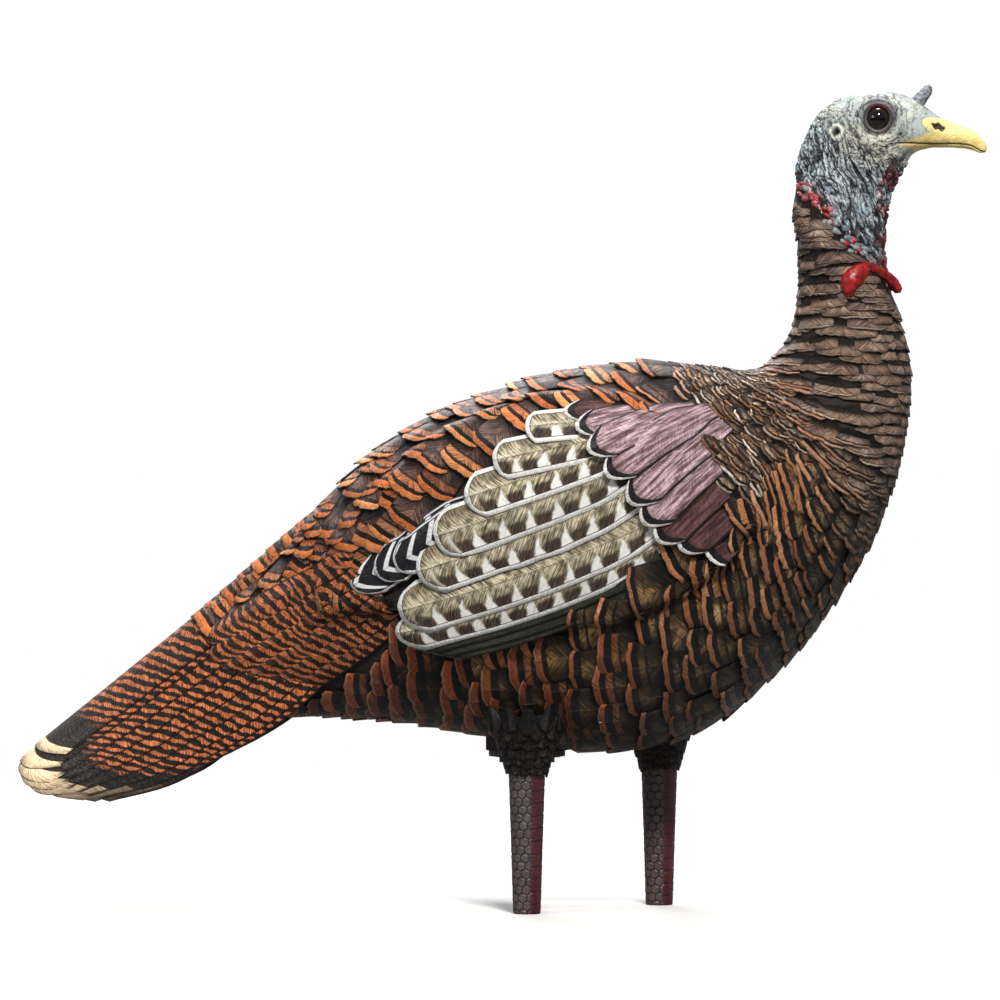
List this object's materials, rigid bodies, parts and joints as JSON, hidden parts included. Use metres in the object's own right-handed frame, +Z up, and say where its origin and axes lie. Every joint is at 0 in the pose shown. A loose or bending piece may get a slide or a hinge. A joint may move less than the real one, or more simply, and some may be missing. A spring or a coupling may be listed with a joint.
{
  "type": "turkey decoy",
  "caption": "Full-body hen turkey decoy with layered feathers, folded wings and tail, on two leg stubs, swivelling on a two-piece ground stake.",
  "frame": {"origin": "on the stake's axis at ground level, level with the soles of the leg stubs", "axes": "+X the way the bird faces, +Y the bird's left, +Z up along the stake"},
  "size_m": [0.6557, 0.217, 0.7872],
  "materials": {
    "feathered plastic": "matt, painted feather pattern",
    "painted skin": "satin, painted",
    "eye glass": "gloss",
    "tail plastic": "matt, painted bars",
    "leg plastic": "satin, moulded scales",
    "nylon": "satin, dark",
    "steel": "zinc plated",
    "coated steel": "black powder coat"
  },
  "bodies": {
    "ground_stake": {"ground_spike": "coated steel", "rod_coupler": "coated steel", "foot_step": "coated steel"},
    "upper_stake": {"upper_rod": "coated steel", "stop_pin": "steel"},
    "swivel": {"swivel_tube": "nylon", "thrust_washer": "steel", "retaining_ring": "steel"},
    "decoy": {"body_shell": "feathered plastic", "head": "painted skin", "right_eye": "eye glass", "left_eye": "eye glass", "right_wing": "feathered plastic", "left_wing": "feathered plastic", "tail_fan": "tail plastic", "tail_screws": "steel", "wing_push_nuts": "steel", "right_leg": "leg plastic", "left_leg": "leg plastic", "leg_screws": "steel", "belly_bushing": "nylon", "bushing_screws": "steel", "top_cup": "nylon"}
  },
  "joints": [
    {"name": "rod_unplug", "type": "slide", "parent": "ground_stake", "child": "upper_stake", "axis": [0, 0, 1], "range_m": [0, 0.06]},
    {"name": "lift_off", "type": "slide", "parent": "upper_stake", "child": "swivel", "axis": [0, 0, 1], "range_m": [0, 0.235]},
    {"name": "body_swivel", "type": "hinge", "parent": "swivel", "child": "decoy", "pos_m": [0, 0, 0.1], "axis": [0, 0, 1], "range_deg": [-40, 40]}
  ]
}
